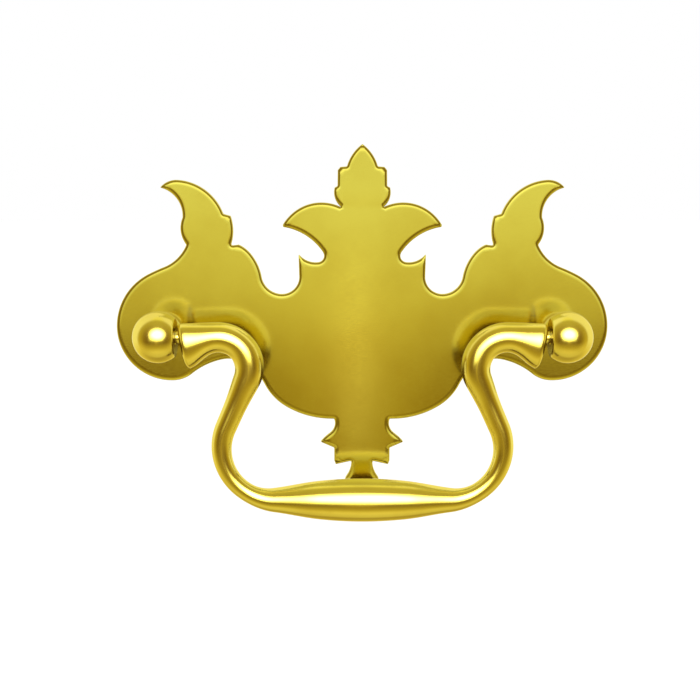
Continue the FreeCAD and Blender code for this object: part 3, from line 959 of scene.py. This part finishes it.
def bail_tree():
    """Sweeps a round section along the centre line and widens its ends into the flared shoulders."""
    tree = geometry_tree("Bail sweep", [
        ("Sides", "NodeSocketInt"),
        ("Hinge depth", "NodeSocketFloat"),
        ("Shoulder height", "NodeSocketFloat"),
        ("Shoulder sag", "NodeSocketFloat"),
        ("Shoulder depth", "NodeSocketFloat"),
        ("Shoulder tilt", "NodeSocketFloat"),
        ("Brass", "NodeSocketMaterial"),
    ])
    given = tree.add("NodeGroupInput").outputs

    def carried(name):
        """A value that the points of the centre line carry."""
        node = tree.add("GeometryNodeInputNamedAttribute", {"Name": name}, data_type="FLOAT")
        return node.outputs["Attribute"]

    curve = tree.add("GeometryNodeMeshToCurve", {"Mesh": given["Geometry"]}).outputs["Curve"]
    girth = carried("girth")
    curve = tree.add("GeometryNodeSetCurveRadius", {"Curve": curve, "Radius": girth}).outputs["Curve"]
    section = tree.add("GeometryNodeCurvePrimitiveCircle", {"Resolution": given["Sides"], "Radius": 1.0})
    sweep = tree.add("GeometryNodeCurveToMesh", {"Curve": curve, "Profile Curve": section.outputs["Curve"]})
    if "Scale" in sweep.inputs:
        tree.feed(sweep.inputs["Scale"], girth)

    place = tree.add("ShaderNodeSeparateXYZ", {0: tree.add("GeometryNodeInputPosition").outputs[0]}).outputs
    flare = carried("flare")

    def widened(value, factor):
        """The value, scaled by the factor where the flare is full and unscaled where there is none."""
        more = tree.math("SUBTRACT", factor, 1.0)
        return tree.math("MULTIPLY", value, tree.math("MULTIPLY_ADD", flare, more, 1.0))

    height = widened(place["Z"], given["Shoulder height"])
    height = tree.math("MULTIPLY_ADD", flare, given["Shoulder sag"], height)
    from_hinge = tree.math("SUBTRACT", place["Y"], given["Hinge depth"])
    depth = tree.math("ADD", widened(from_hinge, given["Shoulder depth"]), given["Hinge depth"])
    slope = tree.math("TANGENT", tree.math("MULTIPLY", flare, given["Shoulder tilt"]))
    outwards = tree.math("MULTIPLY", tree.math("SIGN", place["X"]), tree.math("MULTIPLY", height, slope))
    aside = tree.math("ADD", place["X"], outwards)
    moved = tree.add("ShaderNodeCombineXYZ", {"X": aside, "Y": depth, "Z": height}).outputs[0]
    shaped = tree.add("GeometryNodeSetPosition", {"Geometry": sweep.outputs["Mesh"], "Position": moved})
    return end_tree(tree, shaped.outputs[0], given["Brass"])


def close_shoulder(bm, side, size, posts, end_x, steps=6):
    """Carries one open end of the bail on: rounded edge, leaning end face, dish and hinge pin."""
    open_edge = {v for edge in bm.edges if edge.is_boundary for v in edge.verts if v.co.x * side > 0}
    height = (size.shoulder_rise + size.heel_drop) / 2
    half_depth = size.shoulder_depth / 2
    middle = (size.shoulder_rise - size.heel_drop) / 2
    slope = math.tan(size.shoulder_tilt)
    hinge_y = posts.hinge_depth

    def way_of(vert):
        """Direction of a point, seen from the middle of the shoulder."""
        return math.atan2((vert.co.z - middle) / height, (vert.co.y - hinge_y) / half_depth)

    first = sorted(open_edge, key=way_of)
    ways = [way_of(vert) for vert in first]

    def ring(points):
        """New points from (how far out, y, z) with the lean of the end face."""
        return [bm.verts.new((side * x, hinge_y + y, z)) for x, y, z in points]

    rings = [first]
    for step in range(1, steps + 1):
        way = math.radians(90 * step / steps)
        inset = size.shoulder_rounding * (1 - math.cos(way))
        x = end_x - size.shoulder_rounding * (1 - math.sin(way))
        points = []
        for around in ways:
            y = (half_depth - inset) * math.cos(around)
            z = middle + (height - inset) * math.sin(around)
            points.append((x + z * slope, y, z))
        rings.append(ring(points))

    def circle(radius, x, lean):
        """A ring round the hinge axis that leans as told."""
        return ring([
            (x + lean * radius * math.sin(around), radius * math.cos(around), radius * math.sin(around))
            for around in ways
        ])

    lip_width, lip_sink, dish_steps = 0.12, 0.03, 4
    hollow_radius = (size.dish_radius ** 2 + size.dish_depth ** 2) / (2 * size.dish_depth)
    rings.append(circle(size.dish_radius + lip_width, end_x, slope))
    rings.append(circle(size.dish_radius, end_x - lip_sink, slope))
    for step in range(1, dish_steps + 1):
        radius = size.dish_radius + (size.pin_radius - size.dish_radius) * step / dish_steps
        x = end_x + hollow_radius - size.dish_depth - math.sqrt(hollow_radius ** 2 - radius ** 2)
        rings.append(circle(radius, x, slope * (1 - step / dish_steps)))
    pin_end = posts.spacing / 2 - posts.ball_flat + size.pin_reach
    rings.append(circle(size.pin_radius, pin_end - size.pin_chamfer, 0))
    rings.append(circle(size.pin_radius - size.pin_chamfer, pin_end, 0))
    rings.append(ring([(pin_end, 0, 0)]))
    skin(bm, rings)


class BAILPULL_OT_bail(bpy.types.Operator):
    """Add the swinging bail with its hinge pins"""
    bl_idname = "bail_pull.bail"
    bl_label = "Add Bail"

    def execute(self, context):
        size, posts = in_mm(settings().bail), in_mm(settings().posts)
        material = finish("polished_brass", polished_brass)
        line = BailLine(size, posts.spacing / 2, posts.ball_flat)
        centre_line = bail_line_mesh(line, posts.hinge_depth, BAIL_STEPS)
        swept = run_geometry_tree(centre_line, bail_tree(), {
            "Sides": BAIL_SIDES,
            "Hinge depth": posts.hinge_depth,
            "Shoulder height": (size.shoulder_rise + size.heel_drop) / size.rod,
            "Shoulder sag": (size.shoulder_rise - size.heel_drop) / 2,
            "Shoulder depth": size.shoulder_depth / size.rod,
            "Shoulder tilt": size.shoulder_tilt,
            "Brass": material,
        })
        bm = bmesh.new()
        bm.from_mesh(swept)
        for side in (-1, 1):
            close_shoulder(bm, side, size, posts, line.end_x)
        add_piece("bail_handle", mesh_from(bm, material), "bail", "bail")
        return {"FINISHED"}


# Posts

def ball_profile(size):
    """The ball about the hinge axis, from its outer pole over the flat's rim into the pin hole."""
    radius, flat = size.ball_radius, size.ball_flat
    rim_way = math.acos(-flat / radius)
    soft_way = rim_way - size.rim_rounding / radius
    profile, steps = [], 48
    for step in range(steps + 1):
        way = soft_way * step / steps
        profile.append((radius * math.cos(way), radius * math.sin(way)))
    rim = (-flat, radius * math.sin(rim_way))
    profile += round_corner(profile[-1], rim, (-flat, rim[1] - size.rim_rounding), 5)[1:]
    mouth, mouth_margin = 0.15, 0.3
    bottom = -flat + size.pin_hole_depth
    profile += [
        (-flat, size.pin_hole_radius + mouth + mouth_margin),
        (-flat, size.pin_hole_radius + mouth),
        (-flat + mouth, size.pin_hole_radius),
        (bottom, size.pin_hole_radius),
        (bottom, 0),
    ]
    return profile


def shank_profile(size, thickness):
    """The post behind the ball: neck, cove, foot, spigot, stud and the stretch that gets the thread."""
    foot_front = -thickness - size.foot_height
    cove_start = foot_front - size.cove_length
    cove_width = size.foot_radius - size.neck_radius
    cove_radius = (cove_width ** 2 + size.cove_length ** 2) / (2 * cove_width)
    cove_turn = math.asin(size.cove_length / cove_radius)
    inside_ball = size.hinge_depth + size.ball_radius / 2
    soft = 0.12
    profile = [(inside_ball, 0), (inside_ball, size.neck_radius)]
    cove_steps = 8
    for step in range(cove_steps + 1):
        way = cove_turn * step / cove_steps
        radius = size.neck_radius + cove_radius * (1 - math.cos(way))
        profile.append((cove_start + cove_radius * math.sin(way), radius))
    profile += [
        (foot_front + soft, size.foot_radius),
        (-thickness - soft, size.foot_radius),
        (-thickness, size.foot_radius - soft),
        (-thickness, size.spigot_radius),
        (-size.spigot_recess, size.spigot_radius),
        (-size.spigot_recess, size.stud_radius),
        (size.stud_end - soft, size.stud_radius),
        (size.stud_end, size.thread_radius),
    ]
    thread_length = size.thread_end - size.thread_chamfer - size.stud_end
    rings_per_turn = 10
    rings = round(thread_length / size.thread_pitch * rings_per_turn)
    for step in range(1, rings + 1):
        profile.append((size.stud_end + thread_length * step / rings, size.thread_radius))
    tip = size.thread_radius - size.thread_chamfer
    profile += [(size.thread_end, tip), (size.thread_end, 0)]
    return profile


def thread_tree():
    """Cuts a right-handed thread into a turned shank: a winding groove that fades at both ends."""
    tree = geometry_tree("Thread", [
        ("Start", "NodeSocketFloat"),
        ("End", "NodeSocketFloat"),
        ("Pitch", "NodeSocketFloat"),
        ("Depth", "NodeSocketFloat"),
        ("Brass", "NodeSocketMaterial"),
    ])
    given = tree.add("NodeGroupInput").outputs
    start, end, pitch = given["Start"], given["End"], given["Pitch"]
    place = tree.add("ShaderNodeSeparateXYZ", {0: tree.add("GeometryNodeInputPosition").outputs[0]}).outputs
    way = tree.math("DIVIDE", tree.math("ARCTAN2", place["X"], place["Z"]), 2 * math.pi)
    phase = tree.math("FRACT", tree.math("SUBTRACT", tree.math("DIVIDE", place["Y"], pitch), way))
    wave = tree.math("ABSOLUTE", tree.math("MULTIPLY_ADD", phase, 2.0, -1.0))
    crest, root = 0.82, 0.12
    groove = tree.add("ShaderNodeMapRange", {"Value": wave, "From Min": crest, "From Max": root})
    deep = tree.math("MULTIPLY", groove.outputs["Result"], given["Depth"])
    run_in = tree.smooth_range(place["Y"], start, tree.math("ADD", start, pitch))
    run_out = tree.smooth_range(place["Y"], end, tree.math("SUBTRACT", end, pitch))
    cut = tree.math("MULTIPLY", deep, tree.math("MULTIPLY", run_in, run_out))
    upright = tree.add("ShaderNodeCombineXYZ", {"X": place["X"], "Y": 0.0, "Z": place["Z"]}).outputs[0]
    outwards = tree.vector_math("NORMALIZE", upright)
    sunk = tree.math("MULTIPLY", cut, -1.0)
    offset = tree.add("ShaderNodeVectorMath", {0: outwards, "Scale": sunk}, operation="SCALE").outputs[0]
    cut_mesh = tree.add("GeometryNodeSetPosition", {"Geometry": given["Geometry"], "Offset": offset})
    return end_tree(tree, cut_mesh.outputs[0], given["Brass"])


def joined(first, second, material):
    """Two closed meshes made one."""
    carriers = []
    for mesh in (first, second):
        carrier = bpy.data.objects.new("Carrier", mesh)
        bpy.context.scene.collection.objects.link(carrier)
        carriers.append(carrier)
    modifier = carriers[0].modifiers.new("Join", "BOOLEAN")
    modifier.operation = "UNION"
    modifier.solver = "EXACT"
    modifier.object = carriers[1]
    graph = bpy.context.evaluated_depsgraph_get()
    result = bpy.data.meshes.new_from_object(carriers[0].evaluated_get(graph))
    for carrier in carriers:
        bpy.data.objects.remove(carrier)
    bm = bmesh.new()
    bm.from_mesh(result)
    return mesh_from(bm, material)


class BAILPULL_OT_posts(bpy.types.Operator):
    """Add the two turned posts with their ball heads and threads"""
    bl_idname = "bail_pull.posts"
    bl_label = "Add Posts"

    def execute(self, context):
        size = in_mm(settings().posts)
        thickness = in_mm(settings().plate).thickness
        hinge_y = size.hinge_depth
        material = finish("polished_brass", polished_brass)
        tree = thread_tree()
        for side, name in ((-1, "left"), (1, "right")):
            bm = bmesh.new()
            turn(bm, ball_profile(size), lambda along, a, b: (side * along, hinge_y + a, b), BALL_SIDES)
            ball = mesh_from(bm, material)
            bm = bmesh.new()
            turn(bm, shank_profile(size, thickness), lambda along, a, b: (a, along, b), SHANK_SIDES)
            shank = run_geometry_tree(mesh_from(bm, material), tree, {
                "Start": size.stud_end,
                "End": size.thread_end - size.thread_chamfer,
                "Pitch": size.thread_pitch,
                "Depth": size.thread_depth,
                "Brass": material,
            })
            post = joined(ball, shank, material)
            post.transform(Matrix.Translation((side * size.spacing / 2, 0, 0)))
            add_piece(f"{name}_ball_post", post, f"{name}_post", "plate_assembly")
        return {"FINISHED"}


# Nuts

def nut_mesh(size, x, material):
    """A hexagon nut with chamfered corners and a countersunk bore."""
    flat_radius = size.across_flats / 2
    corner_radius = flat_radius / math.cos(math.radians(30))
    per_side = 12
    bm = bmesh.new()
    ways = [math.radians(60) * index / per_side for index in range(6 * per_side)]

    def ring(shape):
        """Points round the axis, at the radius and depth that the shape has in each direction."""
        points = []
        for way in ways:
            radius, depth = shape(way)
            place = (x + radius * math.cos(way), size.seat + depth, radius * math.sin(way))
            points.append(bm.verts.new(place))
        return points

    def hexagon(way):
        """From the axis to the nut's side, in some direction."""
        return flat_radius / math.cos(way % math.radians(60) - math.radians(30))

    def chamfered(way):
        """Depth of the chamfer: nothing amid a flat, all of it at a corner."""
        return size.chamfer * (hexagon(way) - flat_radius) / (corner_radius - flat_radius)

    mouth = size.bore_radius + size.countersink
    worn_in, worn_down = 0.12, 0.06
    rings = [
        ring(lambda way: (size.bore_radius, size.countersink)),
        ring(lambda way: (mouth, 0)),
        ring(lambda way: (flat_radius - worn_in, 0)),
        ring(lambda way: (hexagon(way), chamfered(way) + worn_down)),
        ring(lambda way: (hexagon(way), size.height - chamfered(way) - worn_down)),
        ring(lambda way: (flat_radius - worn_in, size.height)),
        ring(lambda way: (mouth, size.height)),
        ring(lambda way: (size.bore_radius, size.height - size.countersink)),
    ]
    skin(bm, rings + rings[:1])
    return mesh_from(bm, material)


class BAILPULL_OT_nuts(bpy.types.Operator):
    """Add the two nuts that hold the posts"""
    bl_idname = "bail_pull.nuts"
    bl_label = "Add Nuts"

    def execute(self, context):
        size = in_mm(settings().nuts)
        post_x = in_mm(settings().posts).spacing / 2
        material = finish("plain_brass", plain_brass)
        for side, name in ((-1, "left"), (1, "right")):
            mesh = nut_mesh(size, side * post_x, material)
            add_piece(f"{name}_hex_nut", mesh, f"{name}_nut", "plate_assembly")
        return {"FINISHED"}


# Stage

def studio_world(world):
    """White to the camera, while the brass mirrors a studio with a dim front and a window in it."""
    world.use_nodes = True
    world.cycles.sampling_method = "NONE"
    tree = Tree(world.node_tree)
    way = tree.add("ShaderNodeTexCoord").outputs["Generated"]
    part = tree.add("ShaderNodeSeparateXYZ", {0: way}).outputs
    front = tree.math("MULTIPLY", part["Y"], -1.0)
    up = tree.math("MULTIPLY_ADD", part["Z"], 0.5, 0.5)
    white = (1.0, 1.0, 1.0)
    # The pale wall behind the pull, from the ground up
    behind = tree.ramp(up, [
        (0.0, (0.42, 0.34, 0.14)),
        (0.22, (0.84, 0.74, 0.36)),
        (0.40, white),
        (0.955, white),
        (0.99, (1.0, 0.98, 0.50)),
    ])
    # The walls to the left and right
    beside = tree.ramp(up, [
        (0.0, (0.74, 0.68, 0.38)),
        (0.25, (0.74, 0.63, 0.24)),
        (0.45, (0.56, 0.45, 0.08)),
        (0.75, (0.50, 0.42, 0.12)),
        (1.0, (0.54, 0.48, 0.19)),
    ])
    # The dim front of the studio, round the window
    ring = tree.ramp(up, [
        (0.0, (0.74, 0.69, 0.39)),
        (0.02, (0.92, 0.84, 0.46)),
        (0.06, (0.95, 0.86, 0.46)),
        (0.17, (0.56, 0.46, 0.12)),
        (0.38, (0.19, 0.12, 0.025)),
        (0.67, (0.24, 0.155, 0.05)),
        (0.90, (0.36, 0.28, 0.10)),
        (0.98, (0.52, 0.46, 0.18)),
    ])
    # The window that the plate faces, brighter towards its top
    window = tree.ramp(up, [
        (0.34, (0.38, 0.28, 0.05)),
        (0.396, (0.47, 0.35, 0.06)),
        (0.425, (0.68, 0.57, 0.18)),
        (0.447, (0.79, 0.74, 0.40)),
        (0.475, (0.90, 0.90, 0.66)),
        (0.50, (0.88, 0.92, 0.77)),
        (0.55, (1.05, 1.10, 0.98)),
        (0.62, (1.45, 1.50, 1.45)),
    ])
    # What light mirrored more than once meets: cool, so that hollows between pieces don't turn orange
    between_pieces = tree.ramp(up, [
        (0.38, (0.10, 0.07, 0.08)),
        (0.48, (0.90, 1.02, 3.0)),
        (0.85, (0.90, 1.02, 3.0)),
        (0.95, (0.72, 0.82, 2.4)),
    ])
    aside = tree.smooth_range(tree.math("ABSOLUTE", part["X"]), 0.02, 0.15)
    low = tree.smooth_range(up, 0.432, 0.405)
    in_window = tree.math("MULTIPLY_ADD", tree.math("MULTIPLY", aside, low), -1.0, 1.0)
    in_window = tree.math("MULTIPLY", in_window, tree.smooth_range(front, 0.80, 0.93))
    front_side = tree.mix_colour(tree.smooth_range(front, 0.1, 0.75), beside, ring)
    sides = tree.mix_colour(tree.smooth_range(front, -0.15, 0.1), behind, front_side)
    mirrored_once = tree.mix_colour(in_window, sides, window)
    rays = tree.add("ShaderNodeLightPath").outputs
    mirrored_again = tree.math("GREATER_THAN", rays["Ray Depth"], FIRST_MIRRORING)
    mirrored = tree.mix_colour(mirrored_again, mirrored_once, between_pieces)
    plainly_seen = tree.math("MAXIMUM", rays["Is Camera Ray"], rays["Is Diffuse Ray"])
    colour_seen = tree.mix_colour(plainly_seen, mirrored, opaque(white))
    background = tree.add("ShaderNodeBackground", {"Color": colour_seen, "Strength": 1.0})
    output = tree.add("ShaderNodeOutputWorld")
    tree.feed(output.inputs["Surface"], background.outputs["Background"])


def floor_material(stage):
    """A pale floor that looks white to the camera and keeps the pull's shadow."""
    material = bpy.data.materials.new("pale_floor")
    material.use_nodes = True
    tree = Tree(material.node_tree)
    place = tree.add("ShaderNodeTexCoord").outputs["Object"]
    speckle = noise(tree, place, 40.0)
    pale = opaque(stage.floor_colour)
    tint = tree.mix_colour(speckle, pale, opaque([value * 0.98 for value in stage.floor_colour]))
    shader = tree.add("ShaderNodeBsdfPrincipled", {"Base Color": tint, "Roughness": 0.9})
    rays = tree.add("ShaderNodeLightPath").outputs
    strength = tree.math("MULTIPLY", rays["Is Camera Ray"], 0.2)
    glow = tree.add("ShaderNodeEmission", {"Color": pale, "Strength": strength})
    both = tree.add("ShaderNodeAddShader", {0: shader.outputs["BSDF"], 1: glow.outputs["Emission"]})
    output = tree.add("ShaderNodeOutputMaterial")
    tree.feed(output.inputs["Surface"], both.outputs["Shader"])
    return material


def add_floor(stage):
    """The floor, well below the pull and not mirrored in it."""
    half = stage.floor_size / 2
    level = CAD_BOX[0][Z] - stage.floor_drop
    mesh = bpy.data.meshes.new("floor")
    corners = [(-half, -half, level), (half, -half, level), (half, half, level), (-half, half, level)]
    mesh.from_pydata(corners, [], [(0, 1, 2, 3)])
    mesh.materials.append(floor_material(stage))
    floor = bpy.data.objects.new("floor", mesh)
    floor.visible_glossy = False
    bpy.context.scene.collection.objects.link(floor)


def fade_to_rim(data, core):
    """Make a lamp bright over its core, a share of its radius, and dark at its rim."""
    data.use_nodes = True
    tree = Tree(data.node_tree)
    spot = tree.add("ShaderNodeNewGeometry").outputs["Parametric"]
    centred = tree.vector_math("SUBTRACT", spot, (0.5, 0.5, 0.0))
    flat = tree.vector_math("MULTIPLY", centred, (2.0, 2.0, 0.0))
    from_middle = tree.vector_math("LENGTH", flat, output="Value")
    rays = tree.add("ShaderNodeLightPath").outputs
    mirrored_once = tree.math("LESS_THAN", rays["Ray Depth"], FIRST_MIRRORING)
    strength = tree.math("MULTIPLY", tree.smooth_range(from_middle, 1.0, core), mirrored_once)
    glow = tree.add("ShaderNodeEmission", {"Strength": strength})
    output = tree.add("ShaderNodeOutputLight")
    tree.feed(output.inputs["Surface"], glow.outputs["Emission"])


def add_lamp(stage, name, width, tall, power, height, aside, lit):
    """A soft lamp in front, shaded so that it lights only some of the pieces."""
    data = bpy.data.lights.new(name, "AREA")
    data.shape = "ELLIPSE"
    data.size, data.size_y = width, tall
    data.energy = power
    fade_to_rim(data, stage.lamp_core)
    lamp = bpy.data.objects.new(name, data)
    flat_distance = stage.lamp_distance * math.cos(height)
    lamp.location = (
        flat_distance * math.sin(aside),
        -flat_distance * math.cos(aside),
        stage.lamp_distance * math.sin(height),
    )
    lamp.rotation_mode = "QUATERNION"
    lamp.rotation_quaternion = (-lamp.location).to_track_quat("-Z", "Y")
    lamp.visible_camera = False
    bpy.context.scene.collection.objects.link(lamp)
    receivers = bpy.data.collections.new(f"{name}_lights")
    for piece in lit:
        receivers.objects.link(bpy.data.objects[piece])
    lamp.light_linking.receiver_collection = receivers


def add_camera(stage):
    """The camera, where the photograph was taken from."""
    data = bpy.data.cameras.new("camera")
    data.sensor_width = 36
    data.lens = stage.camera_lens
    data.clip_start = 0.01
    camera = bpy.data.objects.new("camera", data)
    camera.location = (stage.camera_x, stage.camera_y, stage.camera_z)
    camera.rotation_euler = (math.pi / 2 - stage.camera_pitch, 0, 0)
    bpy.context.scene.collection.objects.link(camera)
    bpy.context.scene.camera = camera


class BAILPULL_OT_stage(bpy.types.Operator):
    """Add the floor, the soft studio light and the camera"""
    bl_idname = "bail_pull.stage"
    bl_label = "Add Stage"

    def execute(self, context):
        stage = settings().stage
        scene = context.scene
        scene.view_settings.view_transform = "Standard"
        scene.world = scene.world or bpy.data.worlds.new("studio")
        studio_world(scene.world)
        add_floor(stage)
        add_lamp(
            stage, "broad_lamp", stage.lamp_width, stage.lamp_tall, stage.lamp_power,
            stage.lamp_height, stage.lamp_aside, ("bail_handle", "left_ball_post", "right_ball_post"),
        )
        add_lamp(
            stage, "strip_lamp", stage.strip_width, stage.strip_tall, stage.strip_power,
            stage.strip_height, 0, ("plate",),
        )
        add_camera(stage)
        return {"FINISHED"}


# Add-on

class BAILPULL_PT_panel(bpy.types.Panel):
    """Lists the pieces of the pull and all its settings"""
    bl_idname = "BAILPULL_PT_panel"
    bl_label = "Bail Pull"
    bl_space_type = "VIEW_3D"
    bl_region_type = "UI"
    bl_category = "Bail Pull"

    def draw(self, context):
        for operator in OPERATORS:
            self.layout.operator(operator.bl_idname)
        pull = settings()
        for group in (pull.plate, pull.posts, pull.nuts, pull.bail, pull.brass, pull.stage):
            box = self.layout.box()
            for prop in own_properties(group):
                box.prop(group, prop.identifier)


OPERATORS = (BAILPULL_OT_plate, BAILPULL_OT_posts, BAILPULL_OT_bail, BAILPULL_OT_nuts, BAILPULL_OT_stage)
GROUPS = (PlateSizes, PostSizes, NutSizes, BailSizes, BrassFinishes, StageSettings, PullSettings)
CLASSES = GROUPS + OPERATORS + (BAILPULL_PT_panel,)


def register():
    for kind in CLASSES:
        bpy.utils.register_class(kind)
    bpy.types.Scene.bail_pull = PointerProperty(type=PullSettings)


def unregister():
    del bpy.types.Scene.bail_pull
    for kind in reversed(CLASSES):
        bpy.utils.unregister_class(kind)


def main():
    """Builds the pull and its stage."""
    register()
    bpy.ops.bail_pull.plate()
    bpy.ops.bail_pull.posts()
    bpy.ops.bail_pull.bail()
    bpy.ops.bail_pull.nuts()
    bpy.ops.bail_pull.stage()


if __name__ == "__main__":
    main()
